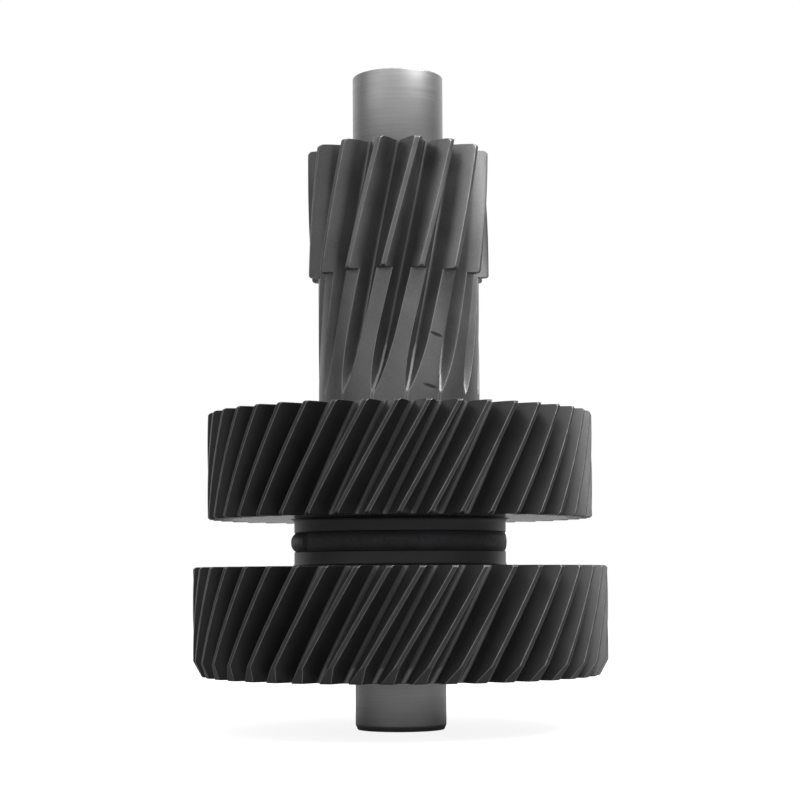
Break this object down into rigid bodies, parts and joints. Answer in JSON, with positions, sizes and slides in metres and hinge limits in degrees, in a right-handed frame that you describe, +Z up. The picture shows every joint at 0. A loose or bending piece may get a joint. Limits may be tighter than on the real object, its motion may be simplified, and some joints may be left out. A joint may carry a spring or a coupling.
{
  "type": "countershaft",
  "caption": "Steel gearbox countershaft with an integral helical pinion, two pressed-on helical gears joined by a weld, and a plain bearing journal at each end.",
  "frame": {"origin": "centre of the end face of the bottom journal, beside the larger gear, on which the shaft stands", "axes": "+Z up the shaft axis from the end with the two gears to the pinion end; the picture looks along +Y"},
  "size_m": [0.205, 0.205, 0.325],
  "materials": {
    "shaft_steel": "ground journals, phosphated dark grey teeth",
    "gear_steel": "phosphated near black, worn lighter on the tooth edges",
    "weld_metal": "dark weld run with a faint blue tint"
  },
  "bodies": {
    "root": {"countershaft": "shaft_steel", "lower_gear": "gear_steel", "upper_gear": "gear_steel", "weld_bead": "weld_metal"}
  },
  "joints": []
}
